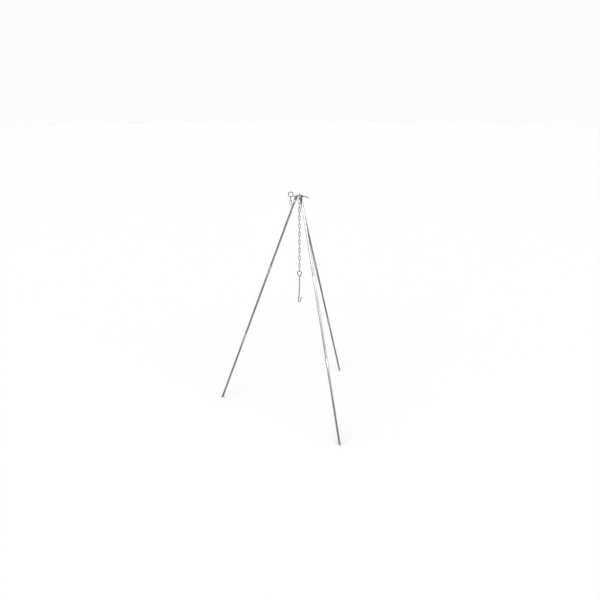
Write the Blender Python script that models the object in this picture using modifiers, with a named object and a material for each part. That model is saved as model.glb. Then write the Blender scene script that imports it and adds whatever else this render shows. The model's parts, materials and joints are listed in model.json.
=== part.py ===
"""Campfire tripod: three sectioned tube legs on a head ring, a chain hung from a height pin, and a pot hook.

Metres, +Z up. The origin is on the ground, at the middle of the box around the three feet.
"""

import math

import bmesh
import bpy
from mathutils import Matrix, Vector

COLLECTION_NAME = "campfire_tripod"
CUTTER_COLLECTION_NAME = "tripod_cutters"

QUARTER_TURN = math.pi / 2
HALF_TURN = math.pi
FULL_TURN = 2 * math.pi

# Clearance between two pieces that touch on the real object.
GAP = 0.0003

# Head ring: it threads the holes of the three flattened leg tops.
RING_HEIGHT = 1.125
RING_RADIUS = 0.0145
RING_WIRE = 0.0050
RING_TILT = math.radians(18.0)
RING_POINTS = 30

# Legs: where each one sits round the ring, and which way it runs out to its foot.
LEG_LENGTH = 1.200
LEG_NAMES = ("left", "rear", "front")
RING_ANGLES = dict(left=180.0, rear=92.0, front=-48.0)
LEG_AZIMUTHS = dict(left=180.0, rear=57.0, front=-60.0)
TUBE_RADIUS = 0.0050
TUBE_WALL = 0.0010
TUBE_SIDES = 16

# Flattened top of a leg.
TAB_HALF_WIDTH = 0.0069
TAB_HALF_THICKNESS = 0.0012
TAB_HOLE_RADIUS = 0.0038
TAB_FLAT_LENGTH = 0.012
TAB_TAPER_LENGTH = 0.022
TAB_TAPER_STEPS = 6
TAB_END_STEPS = 5
TAB_CORNER_POWER = 0.55
HOLE_CUTTER_LENGTH = 0.020

# Sleeves that join the sections, and how far down the leg their middles are.
SLEEVE_RADIUS = 0.0064
SLEEVE_LENGTH = 0.042
SLEEVE_MIDDLES = (0.328 * LEG_LENGTH, 0.662 * LEG_LENGTH)
SLEEVE_BORE = TUBE_RADIUS + GAP
SLEEVE_RIM_LENGTH = 0.0018
SLEEVE_RIM_TAPER = 0.0006
SLEEVE_RIM_RADIUS = 0.0069
SLEEVE_SIDES = 20

# Foot plug: a stem in the tube and a rounded nose with a flat sole.
NOSE_RADIUS = TUBE_RADIUS
NOSE_CENTRE_HEIGHT = 0.0040
NOSE_LENGTH = 0.014
STEM_LENGTH = 0.014
STEM_RADIUS = TUBE_RADIUS - TUBE_WALL - GAP
NOSE_STEPS = 6
GROUND_CUTTER_SIZE = 0.060

# Height pin: an arched wire that lies on the ring and ends in a finger loop.
PIN_WIRE = 0.0045
PIN_OFFSET = -0.0042
PIN_CREST = 1.1300
PIN_ARCH_RADIUS = 0.088
PIN_TAIL_ANGLE = math.radians(31.5)
PIN_ARCH_STEP = math.radians(5.0)
LOOP_RADIUS = 0.01125
LOOP_X = -0.0415
LOOP_HEIGHT = 1.1350
LOOP_SWEEP = math.radians(308.0)
LOOP_STEP = math.radians(18.0)

# Chain: links in turn edge-on and face-on, each one hung in the one above.
LINK_COUNT = 19
LINK_WIRE = 0.0030
LINK_WIDTH = 0.0120
CHAIN_PITCH = 0.0200
LINK_BOW_DISTANCE = CHAIN_PITCH + LINK_WIRE + GAP
LINK_BOW_SEGMENTS = 6
SPARE_LINK_COUNT = 2

# Pot hook: a closed eye, a long shank and a J bend, in the X-Z plane.
HOOK_WIRE = 0.0050
EYE_RADIUS = 0.0102
EYE_OPEN_ANGLE = math.radians(44.0)
EYE_END_X = 0.0050
EYE_END_RISE = 0.0034
NECK_X = 0.0006
NECK_DROP = 0.0328
SHANK_END_X = -0.0014
SHANK_END_HEIGHT = 0.6280
BEND_RADIUS = 0.0050
BEND_CENTRE_X = -0.0004
BEND_CENTRE_HEIGHT = 0.5948
HOOK_TIP_X = 0.0108
HOOK_TIP_HEIGHT = 0.6165
EYE_STEP = math.radians(20.0)
BEND_STEP = math.radians(18.0)

WIRE_BEVEL_RESOLUTION = 2
WELD_DISTANCE = 0.00001
SMOOTH_ANGLE = math.radians(40.0)

# Material of each kind of piece: name, color, roughness.
METALS = {
    "tube": ("plated_tube", (0.62, 0.63, 0.60), 0.30),
    "sleeve": ("bright_sleeve", (0.74, 0.75, 0.73), 0.22),
    "wire": ("plated_wire", (0.55, 0.56, 0.54), 0.28),
    "chain": ("zinc_chain", (0.58, 0.59, 0.57), 0.34),
    "foot": ("dark_foot", (0.20, 0.20, 0.19), 0.55),
}


def ring_point(name):
    """Centre of the ring's wire where a leg hangs, measured from the head's axis."""
    angle = math.radians(RING_ANGLES[name])
    flat = Vector((RING_RADIUS * math.cos(angle), RING_RADIUS * math.sin(angle), 0.0))
    return Matrix.Rotation(RING_TILT, 3, "X") @ flat + Vector((0.0, 0.0, RING_HEIGHT))


def leg_splay(name):
    """Angle between a leg and the vertical: its foot just reaches the ground."""
    return math.acos(ring_point(name).z / LEG_LENGTH)


def foot_point(name):
    """Where a leg's axis meets the ground, measured from the head's axis."""
    azimuth = math.radians(LEG_AZIMUTHS[name])
    reach = LEG_LENGTH * math.sin(leg_splay(name))
    top = ring_point(name)
    return Vector((top.x + reach * math.cos(azimuth), top.y + reach * math.sin(azimuth), 0.0))


def head_axis():
    """Foot of the head's vertical axis, so that the box round the feet is centred on the origin."""
    feet = [foot_point(name) for name in LEG_NAMES]
    middle_x = (min(foot.x for foot in feet) + max(foot.x for foot in feet)) / 2
    middle_y = (min(foot.y for foot in feet) + max(foot.y for foot in feet)) / 2
    return Vector((-middle_x, -middle_y, 0.0))


def clear_scene():
    for obj in list(bpy.data.objects):
        bpy.data.objects.remove(obj, do_unlink=True)


def make_collection(name, hidden=False):
    collection = bpy.data.collections.new(name)
    bpy.context.scene.collection.children.link(collection)
    collection.hide_render = hidden
    return collection


def make_metal(name, color, roughness):
    material = bpy.data.materials.new(name)
    material.use_nodes = True
    shader = material.node_tree.nodes["Principled BSDF"]
    shader.inputs["Base Color"].default_value = (*color, 1.0)
    shader.inputs["Roughness"].default_value = roughness
    shader.inputs["Metallic"].default_value = 1.0
    return material


def add_object(name, mesh, material, collection):
    mesh.materials.clear()
    mesh.materials.append(material)
    obj = bpy.data.objects.new(name, mesh)
    collection.objects.link(obj)
    return obj


def add_empty(name, location, rotation, collection, parent=None):
    empty = bpy.data.objects.new(name, None)
    empty.location = location
    empty.rotation_euler = rotation
    empty.parent = parent
    collection.objects.link(empty)
    return empty


def place(obj, parent, location=(0.0, 0.0, 0.0), rotation=(0.0, 0.0, 0.0)):
    obj.parent = parent
    obj.location = location
    obj.rotation_euler = rotation
    return obj


def shade_smooth(mesh):
    mesh.shade_smooth()
    mesh.set_sharp_from_angle(angle=SMOOTH_ANGLE)


def arc_points(centre, radius, start, end, step):
    """Points of an arc in the X-Z plane, its angles counted from +X towards +Z."""
    count = max(2, math.ceil(abs(end - start) / step))
    angles = [start + (end - start) * i / count for i in range(count + 1)]
    return [(centre[0] + radius * math.cos(a), centre[1] + radius * math.sin(a)) for a in angles]


def wire_mesh(name, points, diameter, cyclic=False):
    """A round wire along points of the X-Z plane, as a mesh with closed ends."""
    curve = bpy.data.curves.new(name + "_wire", "CURVE")
    curve.dimensions = "3D"
    curve.bevel_depth = diameter / 2
    curve.bevel_resolution = WIRE_BEVEL_RESOLUTION
    curve.use_fill_caps = not cyclic
    spline = curve.splines.new("POLY")
    spline.points.add(len(points) - 1)
    for spline_point, (x, z) in zip(spline.points, points):
        spline_point.co = (x, 0.0, z, 1.0)
    spline.use_cyclic_u = cyclic
    wire = bpy.data.objects.new(name + "_wire", curve)
    bpy.context.scene.collection.objects.link(wire)
    bpy.context.view_layer.update()
    graph = bpy.context.evaluated_depsgraph_get()
    mesh = bpy.data.meshes.new_from_object(wire.evaluated_get(graph))
    mesh.name = name
    weld(mesh)
    bpy.data.objects.remove(wire, do_unlink=True)
    bpy.data.curves.remove(curve)
    shade_smooth(mesh)
    return mesh


def weld(mesh):
    """Joins points that lie together, and turns every face outwards."""
    shell = bmesh.new()
    shell.from_mesh(mesh)
    bmesh.ops.remove_doubles(shell, verts=shell.verts, dist=WELD_DISTANCE)
    bmesh.ops.recalc_face_normals(shell, faces=shell.faces)
    shell.to_mesh(mesh)
    shell.free()


def cylinder_mesh(name, radius, length, sides):
    """A closed cylinder, centred on its own origin, along Z."""
    solid = bmesh.new()
    bmesh.ops.create_cone(
        solid, cap_ends=True, segments=sides, radius1=radius, radius2=radius, depth=length
    )
    mesh = bpy.data.meshes.new(name)
    solid.to_mesh(mesh)
    solid.free()
    return mesh


def add_turned(name, profile, sides, material, collection):
    """A turned piece: a profile of (radius, height) carried round Z by a Screw modifier."""
    mesh = bpy.data.meshes.new(name)
    points = [(radius, 0.0, height) for radius, height in profile]
    edges = [(i, i + 1) for i in range(len(points) - 1)]
    if profile[0][0] > 0.0:
        edges.append((len(points) - 1, 0))
    mesh.from_pydata(points, edges, [])
    obj = add_object(name, mesh, material, collection)
    screw = obj.modifiers.new("turn", "SCREW")
    screw.axis = "Z"
    screw.steps = sides
    screw.render_steps = sides
    screw.use_merge_vertices = True
    screw.merge_threshold = WELD_DISTANCE
    screw.use_smooth_shade = True
    return obj


def add_cut(obj, cutter, name):
    cut = obj.modifiers.new(name, "BOOLEAN")
    cut.operation = "DIFFERENCE"
    cut.object = cutter


def tab_section(height):
    """Half width and half thickness of the leg's top at a height above its hole."""
    if height >= 0.0:
        return math.sqrt(max(TAB_HALF_WIDTH**2 - height**2, 0.0)), TAB_HALF_THICKNESS
    if height >= -TAB_FLAT_LENGTH:
        return TAB_HALF_WIDTH, TAB_HALF_THICKNESS
    share = min((-TAB_FLAT_LENGTH - height) / TAB_TAPER_LENGTH, 1.0)
    eased = share * share * (3.0 - 2.0 * share)
    width = TAB_HALF_WIDTH + (TUBE_RADIUS - TAB_HALF_WIDTH) * eased
    return width, TAB_HALF_THICKNESS + (TUBE_RADIUS - TAB_HALF_THICKNESS) * eased


def tab_heights():
    """Heights of the sections that shape a leg's top, from the tip down to the round tube."""
    step = QUARTER_TURN / (2 * TAB_END_STEPS + 1)
    tip = [TAB_HALF_WIDTH * math.cos(step * (2 * i + 1)) for i in range(TAB_END_STEPS)]
    taper = [
        -TAB_FLAT_LENGTH - TAB_TAPER_LENGTH * i / TAB_TAPER_STEPS
        for i in range(TAB_TAPER_STEPS + 1)
    ]
    return tip + [0.0] + taper


def section_ring(solid, half_width, half_thickness, height):
    """One closed section: a flat one has nearly straight sides, a round one is a circle."""
    flatness = 1.0 - half_thickness / TUBE_RADIUS
    power = 1.0 - (1.0 - TAB_CORNER_POWER) * flatness
    ring = []
    for i in range(TUBE_SIDES):
        angle = HALF_TURN * (2 * i + 1) / TUBE_SIDES
        across = math.cos(angle)
        through = math.sin(angle)
        x = half_width * math.copysign(abs(across) ** power, across)
        y = half_thickness * math.copysign(abs(through) ** power, through)
        ring.append(solid.verts.new((x, y, height)))
    return ring


def upper_tube_mesh(name, length):
    """A round tube whose top is pressed flat and rounded off: a loft between unlike sections."""
    solid = bmesh.new()
    heights = tab_heights() + [-length]
    rings = [section_ring(solid, *tab_section(height), height) for height in heights]
    for above, below in zip(rings, rings[1:]):
        for i in range(TUBE_SIDES):
            j = (i + 1) % TUBE_SIDES
            solid.faces.new((above[i], below[i], below[j], above[j]))
    solid.faces.new(rings[0])
    solid.faces.new(reversed(rings[-1]))
    bmesh.ops.recalc_face_normals(solid, faces=solid.faces)
    mesh = bpy.data.meshes.new(name)
    solid.to_mesh(mesh)
    solid.free()
    shade_smooth(mesh)
    return mesh


def add_cutter(name, mesh, collection, parent=None, location=(0.0, 0.0, 0.0), rotation=(0.0, 0.0, 0.0)):
    cutter = bpy.data.objects.new(name, mesh)
    cutter.hide_render = True
    cutter.display_type = "WIRE"
    collection.objects.link(cutter)
    return place(cutter, parent, location, rotation)


def tab_twist(name):
    """Turn about the leg's axis that faces the tab's hole along the ring's wire."""
    angle = math.radians(RING_ANGLES[name])
    tangent = Matrix.Rotation(RING_TILT, 3, "X") @ Vector((-math.sin(angle), math.cos(angle), 0.0))
    across = leg_rotation(name).to_matrix().transposed() @ tangent
    return math.atan2(-across.x, across.y)


def leg_rotation(name):
    """Turn that lays +Z up along the leg and +Y along its fold axis."""
    return Matrix.Rotation(math.radians(LEG_AZIMUTHS[name]), 3, "Z").to_quaternion() @ (
        Matrix.Rotation(-leg_splay(name), 3, "Y").to_quaternion()
    )


def add_upper_tube(name, frame, parts, cutters, materials):
    length = SLEEVE_MIDDLES[0] - GAP / 2
    mesh = upper_tube_mesh(f"{name}_upper_tube", length)
    tube = add_object(f"{name}_upper_tube", mesh, materials["tube"], parts)
    place(tube, frame, rotation=(0.0, 0.0, tab_twist(name)))
    hole = cylinder_mesh(f"{name}_ring_hole", TAB_HOLE_RADIUS, HOLE_CUTTER_LENGTH, TUBE_SIDES)
    hole_cutter = add_cutter(f"{name}_ring_hole", hole, cutters, tube, rotation=(QUARTER_TURN, 0.0, 0.0))
    top_of_bore = TAB_FLAT_LENGTH + TAB_TAPER_LENGTH
    bore_length = 2 * (length - top_of_bore)
    bore = cylinder_mesh(f"{name}_upper_bore", TUBE_RADIUS - TUBE_WALL, bore_length, TUBE_SIDES)
    bore_cutter = add_cutter(f"{name}_upper_bore", bore, cutters, tube, location=(0.0, 0.0, -length))
    add_cut(tube, hole_cutter, "ring_hole")
    add_cut(tube, bore_cutter, "bore")
    return tube


def tube_profile(top, bottom):
    """A plain tube between two distances down the leg."""
    inner = TUBE_RADIUS - TUBE_WALL
    return [(TUBE_RADIUS, -top), (TUBE_RADIUS, -bottom), (inner, -bottom), (inner, -top)]


def sleeve_profile(middle):
    """A straight collar with a thicker rim at its lower mouth."""
    top = SLEEVE_LENGTH / 2 - middle
    bottom = -SLEEVE_LENGTH / 2 - middle
    return [
        (SLEEVE_RADIUS, top),
        (SLEEVE_RADIUS, bottom + SLEEVE_RIM_LENGTH + SLEEVE_RIM_TAPER),
        (SLEEVE_RIM_RADIUS, bottom + SLEEVE_RIM_LENGTH),
        (SLEEVE_RIM_RADIUS, bottom),
        (SLEEVE_BORE, bottom),
        (SLEEVE_BORE, top),
    ]


def foot_profile(nose_centre):
    """A stem and a domed nose, down the outer side from the stem's top to the nose's tip."""
    shoulder = -nose_centre + NOSE_LENGTH - NOSE_RADIUS
    dome = [
        (NOSE_RADIUS * math.cos(a), -nose_centre - NOSE_RADIUS * math.sin(a))
        for a in (QUARTER_TURN * i / NOSE_STEPS for i in range(NOSE_STEPS))
    ]
    return [
        (0.0, shoulder + STEM_LENGTH),
        (STEM_RADIUS, shoulder + STEM_LENGTH),
        (STEM_RADIUS, shoulder),
        (NOSE_RADIUS, shoulder),
        *dome,
        (0.0, -nose_centre - NOSE_RADIUS),
    ]


def add_foot(name, frame, parts, cutters, materials):
    nose_centre = LEG_LENGTH - NOSE_CENTRE_HEIGHT / math.cos(leg_splay(name))
    foot = add_turned(
        f"{name}_foot_tip", foot_profile(nose_centre), TUBE_SIDES, materials["foot"], parts
    )
    place(foot, frame)
    block = bpy.data.meshes.new(f"{name}_ground")
    solid = bmesh.new()
    bmesh.ops.create_cube(solid, size=GROUND_CUTTER_SIZE)
    solid.to_mesh(block)
    solid.free()
    below = head_axis() + foot_point(name) - Vector((0.0, 0.0, GROUND_CUTTER_SIZE / 2))
    add_cut(foot, add_cutter(f"{name}_ground", block, cutters, location=below), "sole")
    return nose_centre - NOSE_LENGTH + NOSE_RADIUS


def add_leg(name, parts, cutters, materials):
    """One leg: three tube sections, two sleeves and a foot, hung from a frame at its hole."""
    frame = add_empty(
        f"{name}_leg_pivot",
        head_axis() + ring_point(name),
        leg_rotation(name).to_euler(),
        parts,
    )
    add_upper_tube(name, frame, parts, cutters, materials)
    shoulder = add_foot(name, frame, parts, cutters, materials)
    first, second = SLEEVE_MIDDLES
    sections = {
        "middle_tube": tube_profile(first + GAP / 2, second - GAP / 2),
        "lower_tube": tube_profile(second + GAP / 2, shoulder - GAP),
    }
    for piece, profile in sections.items():
        tube = add_turned(f"{name}_{piece}", profile, TUBE_SIDES, materials["tube"], parts)
        place(tube, frame)
    for piece, middle in zip(("upper_sleeve", "lower_sleeve"), SLEEVE_MIDDLES):
        profile = sleeve_profile(middle)
        sleeve = add_turned(f"{name}_{piece}", profile, SLEEVE_SIDES, materials["sleeve"], parts)
        place(sleeve, frame)


def add_head_ring(parts, materials):
    circle = arc_points((0.0, 0.0), RING_RADIUS, 0.0, FULL_TURN, FULL_TURN / RING_POINTS)
    mesh = wire_mesh("head_ring", circle[:-1], RING_WIRE, cyclic=True)
    ring = add_object("head_ring", mesh, materials["wire"], parts)
    centre = head_axis() + Vector((0.0, 0.0, RING_HEIGHT))
    place(ring, None, centre, (QUARTER_TURN + RING_TILT, 0.0, 0.0))


def pin_points():
    """Tail, arch, straight neck and finger loop, from the arch's centre as origin.

    The neck is the inner tangent of the arch's circle and the loop's circle.
    """
    loop = Vector((LOOP_X, LOOP_HEIGHT - PIN_CREST + PIN_ARCH_RADIUS))
    towards = math.atan2(loop.y, loop.x)
    spread = math.acos((PIN_ARCH_RADIUS + LOOP_RADIUS) / loop.length)
    leave = towards - spread
    tail = QUARTER_TURN - PIN_TAIL_ANGLE
    arch = arc_points((0.0, 0.0), PIN_ARCH_RADIUS, tail, leave, PIN_ARCH_STEP)
    start = leave - HALF_TURN
    turn = arc_points(loop, LOOP_RADIUS, start, start - LOOP_SWEEP, LOOP_STEP)
    return arch + turn


def add_height_pin(parts, materials):
    mesh = wire_mesh("height_pin", pin_points(), PIN_WIRE)
    pin = add_object("height_pin", mesh, materials["wire"], parts)
    centre = Vector((0.0, PIN_OFFSET, PIN_CREST - PIN_ARCH_RADIUS))
    place(pin, None, head_axis() + centre)


def link_mesh(name):
    """A stadium-shaped link, from the middle of its top bow's wire down, in the X-Z plane."""
    bow = (LINK_WIDTH - LINK_WIRE) / 2
    step = HALF_TURN / LINK_BOW_SEGMENTS
    low = bow - LINK_BOW_DISTANCE
    top = arc_points((0.0, -bow), bow, 0.0, HALF_TURN, step)
    bottom = arc_points((0.0, low), bow, HALF_TURN, FULL_TURN, step)
    return wire_mesh(name, top + bottom, LINK_WIRE, cyclic=True)


def hang_links(names, support, support_radius, mesh, material, parts):
    """Hangs links one in another, the first of them edge-on, over a wire at support."""
    rise = support_radius + LINK_WIRE / 2 + GAP
    wire_centre = Vector(support)
    for index, name in enumerate(names):
        link = add_object(name, mesh, material, parts)
        pivot = add_empty(f"{name}_pivot", wire_centre, (0.0, 0.0, 0.0), parts)
        edge_on = index % 2 == 0
        turn = QUARTER_TURN if edge_on else 0.0
        place(link, pivot, (0.0, 0.0, rise), (0.0, 0.0, turn))
        wire_centre = wire_centre + Vector((0.0, 0.0, rise - LINK_BOW_DISTANCE))
        rise = LINK_WIRE + GAP
    return wire_centre


def hook_points(top):
    """Eye, neck, shank, J bend and tip, from the middle of the eye's top wire at height top.

    The tip's straight end is a tangent of the bend's circle.
    """
    eye = (0.0, top - EYE_RADIUS)
    start = -QUARTER_TURN + EYE_OPEN_ANGLE
    end = FULL_TURN - QUARTER_TURN - EYE_OPEN_ANGLE
    eye_arc = arc_points(eye, EYE_RADIUS, start, end, EYE_STEP)
    eye_end = (EYE_END_X, top - NECK_DROP + EYE_END_RISE)
    neck = (NECK_X, top - NECK_DROP)
    shank_end = (SHANK_END_X, SHANK_END_HEIGHT)
    centre = Vector((BEND_CENTRE_X, BEND_CENTRE_HEIGHT))
    tip = Vector((HOOK_TIP_X, HOOK_TIP_HEIGHT))
    reach = tip - centre
    leave = FULL_TURN + math.atan2(reach.y, reach.x) - math.acos(BEND_RADIUS / reach.length)
    bend = arc_points(centre, BEND_RADIUS, HALF_TURN, leave, BEND_STEP)
    return [eye_end, *eye_arc, neck, shank_end, *bend, tuple(tip)]


def add_pot_hook(last_wire, parts, materials):
    """The hook hangs in the last link, so its pivot is the middle of that link's lowest wire."""
    rise = LINK_WIRE / 2 + HOOK_WIRE / 2 + GAP
    top = last_wire.z + rise
    points = [(x, z - last_wire.z) for x, z in hook_points(top)]
    mesh = wire_mesh("pot_hook", points, HOOK_WIRE)
    hook = add_object("pot_hook", mesh, materials["wire"], parts)
    place(hook, None, last_wire)


def main():
    clear_scene()
    parts = make_collection(COLLECTION_NAME)
    cutters = make_collection(CUTTER_COLLECTION_NAME, hidden=True)
    materials = {kind: make_metal(*metal) for kind, metal in METALS.items()}
    for name in LEG_NAMES:
        add_leg(name, parts, cutters, materials)
    add_head_ring(parts, materials)
    add_height_pin(parts, materials)
    link = link_mesh("chain_link")
    axis = head_axis()
    crest = axis + Vector((0.0, PIN_OFFSET, PIN_CREST))
    names = [f"chain_link_{number:02d}" for number in range(1, LINK_COUNT + 1)]
    last = hang_links(names, crest, PIN_WIRE / 2, link, materials["chain"], parts)
    add_pot_hook(last, parts, materials)
    loop_bottom = axis + Vector((LOOP_X, PIN_OFFSET, LOOP_HEIGHT - LOOP_RADIUS))
    spares = [f"spare_link_{number}" for number in range(1, SPARE_LINK_COUNT + 1)]
    hang_links(spares, loop_bottom, PIN_WIRE / 2, link, materials["chain"], parts)


main()
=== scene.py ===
"""Campfire tripod: the finished surfaces of its tubes, collars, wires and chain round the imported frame.

Metres, +Z up. Every finished piece stands for one plain node of the frame and rides on that node's body.
"""

import json
import math

import bpy
import numpy as np
from mathutils import Matrix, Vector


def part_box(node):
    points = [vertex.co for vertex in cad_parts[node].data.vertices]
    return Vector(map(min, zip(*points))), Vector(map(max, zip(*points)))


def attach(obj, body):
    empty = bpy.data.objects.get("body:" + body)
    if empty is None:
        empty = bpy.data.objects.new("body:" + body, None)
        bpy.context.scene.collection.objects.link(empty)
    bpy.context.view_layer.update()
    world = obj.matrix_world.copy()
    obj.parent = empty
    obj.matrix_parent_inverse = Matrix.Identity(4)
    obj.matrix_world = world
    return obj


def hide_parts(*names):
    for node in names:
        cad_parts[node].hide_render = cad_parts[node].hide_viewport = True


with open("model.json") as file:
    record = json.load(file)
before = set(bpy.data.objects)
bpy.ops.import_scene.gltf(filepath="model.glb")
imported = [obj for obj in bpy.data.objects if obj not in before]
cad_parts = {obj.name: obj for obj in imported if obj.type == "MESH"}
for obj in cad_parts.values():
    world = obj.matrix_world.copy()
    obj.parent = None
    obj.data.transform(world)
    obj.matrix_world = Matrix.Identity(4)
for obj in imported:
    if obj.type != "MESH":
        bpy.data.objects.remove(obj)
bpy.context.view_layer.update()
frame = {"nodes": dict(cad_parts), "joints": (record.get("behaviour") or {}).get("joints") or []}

bl_info = {
    "name": "Campfire Tripod",
    "version": (1, 0, 0),
    "blender": (4, 5, 0),
    "location": "View3D > Sidebar > Tripod",
    "description": "Makes the finished pieces of a campfire tripod round its frame",
    "category": "Add Mesh",
}

JOINTS = {joint["name"]: joint for joint in frame["joints"]}
LEGS = ("left", "rear", "front")
LINK_COUNT = sum(1 for node in frame["nodes"] if node.startswith("chain_link_"))
SPARE_COUNT = sum(1 for node in frame["nodes"] if node.startswith("spare_link_"))
DONE = {"FINISHED"}
GRAIN = "grain"
# The per-point attribute: real wear on most pieces, and painted shade at the collars' two ends.
WEAR_AND_SHADE = "wear"
TURN = 2 * np.pi
QUARTER = np.pi / 2
SHARP_ANGLE = math.radians(42.0)
X_WAY = np.array((1.0, 0.0, 0.0))
Y_WAY = np.array((0.0, 1.0, 0.0))
Z_WAY = np.array((0.0, 0.0, 1.0))

# How finely the surfaces are made: points round a section, rows along a piece, and points of a corner.
TUBE_SIDES = 48
TURNED_SIDES = 64
TAB_SIDES = 96
WIRE_SIDES = 32
LINK_SIDES = 20
CORNER_STEPS = 4
COLLAR_ROWS = 90
DOME_ROWS = 26
DRILL_ROWS = 25
TIP_ROWS = 16
FLAT_ROWS = 14
TAPER_ROWS = 32
PLAIN_ROWS = 24
BORE_ROWS = 8
RING_ROWS = 120
FLOOR_ROWS = 24
LONGEST_FACE = 0.02

# How round the poles of the tab's tip and of the bore's dome start, as an angle from the pole.
TIP_START = 0.06
BORE_START = 0.15

# A corner's curve takes at most this share of each side next to it.
CORNER_SHARE = 0.45

# A wire's domed end, as a share of its diameter, and the angle round the head ring of its weld.
WIRE_END_DOME = 0.22
RING_WELD = 0.7

# Where a tube is rubbed by a collar's mouth: below the mouth, over this length, and how much.
RUB_DROP = 0.008
RUB_LENGTH = 0.012
RUB_SHARE = 0.9

# How far painted shade and wear reach: painted shade from a collar's two ends; wear from the ground, from a
# bow or a crest.
MOUTH_PAINTED_SHADE = 0.004
TOP_PAINTED_SHADE = 0.003
GROUND_WEAR = 0.0016
LEAN_WEAR = 0.001
LINK_WEAR = 0.0018
RING_WEAR = 0.002
CREST_WEAR = 0.003
FOOT_WEAR = 0.004

# The tab's rim is thinner past this share of its tip, and its corners ease from nearly square to round.
RIM_PLACE = 0.9
RIM_THICKNESS = 0.82
SQUARE_CORNER = 0.55

# A collar's crimped rings, as shares of its length, and how much of the half sine its bead turns through.
CRIMP_PLACES = (0.20, 0.34)
CRIMP_WIDTH = 0.0011
BEAD_TURN = 0.86
MOUTH_FLARE = 0.0002
MOUTH_DEPTH = 0.0008

# A foot cap: its gap to the tube, its groove, its corners, and the height of its dome's centre.
CAP_GAP = 0.0003
CAP_LIP = 0.0022
GROOVE_DEPTH = 0.0005
GROOVE_BEVEL = 0.0004
GROOVE_FLOOR = 0.0006
CAP_CORNER = 0.0002
NOSE_HEIGHT = 0.004

# Sockets of a Mix node on colours, which repeats its socket names.
MIX_FACTOR = 0
MIX_FIRST = 6
MIX_SECOND = 7
MIX_RESULT = 2

FLOOR_DROP = 0.0002
OVERHEAD_PLACE = (-1.5, -1.2, 4.0)


# Fields of the property groups.


def metres(name, description, default):
    """A size in metres."""
    return bpy.props.FloatProperty(name=name, description=description, default=default, unit="LENGTH")


def spot(name, description, default):
    """A place in the upright plane, in metres."""
    return bpy.props.FloatVectorProperty(
        name=name, description=description, default=default, size=2, unit="LENGTH"
    )


def degrees(name, description, angle):
    """An angle, given in degrees and kept in radians."""
    return bpy.props.FloatProperty(
        name=name, description=description, default=math.radians(angle), unit="ROTATION"
    )


def amount(name, description, default, subtype="NONE"):
    """A number without a unit, such as a light's strength."""
    return bpy.props.FloatProperty(name=name, description=description, default=default, subtype=subtype)


def paint(name, description, default):
    """A colour of red, green and blue."""
    return bpy.props.FloatVectorProperty(
        name=name, description=description, default=default, size=3, min=0.0, max=1.0, subtype="COLOR"
    )


class TripodSizes(bpy.types.PropertyGroup):
    """Sizes of the details that the frame leaves plain."""

    tube_wall: metres("Tube wall", "Wall of a leg tube", 0.0010)
    tab_half_width: metres("Tab half width", "Half width of a flattened leg top", 0.0069)
    tab_half_thickness: metres("Tab half thickness", "Half thickness of a flattened leg top", 0.0012)
    tab_hole: metres("Tab hole", "Radius of the hole in a leg top", 0.0038)
    tab_flat: metres("Tab flat", "Flat length below the hole", 0.012)
    tab_taper: metres("Tab taper", "Length over which the flat turns round", 0.022)
    bead_length: metres("Collar bead", "Length of the rolled bead at a collar's mouth", 0.0030)
    shoulder_length: metres("Collar shoulder", "Length of the rounded end of a collar", 0.0035)
    crimp_depth: metres("Crimp depth", "Depth of the rings that grip the upper tube", 0.00035)
    edge_round: metres("Edge round", "How far a worn edge is rounded back", 0.0003)
    weld_swell: amount("Weld swell", "Share by which a weld thickens its wire", 0.10, "FACTOR")
    weld_length: metres("Weld length", "Half length of a weld along its wire", 0.0014)


class TripodWires(bpy.types.PropertyGroup):
    """Sizes of the bent wires and of the chain."""

    ring_wire: metres("Ring wire", "Wire of the head ring", 0.0050)
    pin_wire: metres("Pin wire", "Wire of the height pin", 0.0045)
    pin_arch: metres("Pin arch", "Radius of the height pin's arch", 0.088)
    pin_tail: degrees("Pin tail", "Angle from the crest to the tail's end", 31.5)
    loop_radius: metres("Finger loop", "Radius of the finger loop", 0.01125)
    loop_x: metres("Loop side", "Finger loop's place beside the crest", -0.0415)
    loop_rise: metres("Loop rise", "Finger loop's centre above the crest", 0.0050)
    loop_sweep: degrees("Loop sweep", "Angle that the finger loop turns through", 308.0)
    link_wire: metres("Link wire", "Wire of a chain link", 0.0030)
    link_width: metres("Link width", "Outer width of a chain link", 0.0120)
    link_reach: metres("Link reach", "Distance between the wires of a link's two bows", 0.0233)
    hook_wire: metres("Hook wire", "Wire of the pot hook", 0.0050)
    eye_radius: metres("Hook eye", "Radius of the hook's eye", 0.0102)
    eye_opening: degrees("Eye opening", "Half angle where the eye leaves for the neck", 44.0)
    eye_end: spot("Eye end", "End of the eye's wire, beside and above the neck", (0.0044, 0.0034))
    neck_x: metres("Neck side", "Neck's place beside the pivot", 0.0006)
    neck_drop: metres("Hook neck", "Neck below the eye's top wire", 0.0328)
    shank_end: spot("Shank end", "End of the shank, beside the pivot and above the foot", (-0.0014, 0.0382))
    bend_radius: metres("Hook bend", "Radius of the J bend", 0.0050)
    bend_x: metres("Bend side", "Middle of the J bend beside the pivot", -0.0004)
    hook_tip: spot("Hook tip", "End of the tip, beside the pivot and above the foot", (0.0108, 0.0267))


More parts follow.
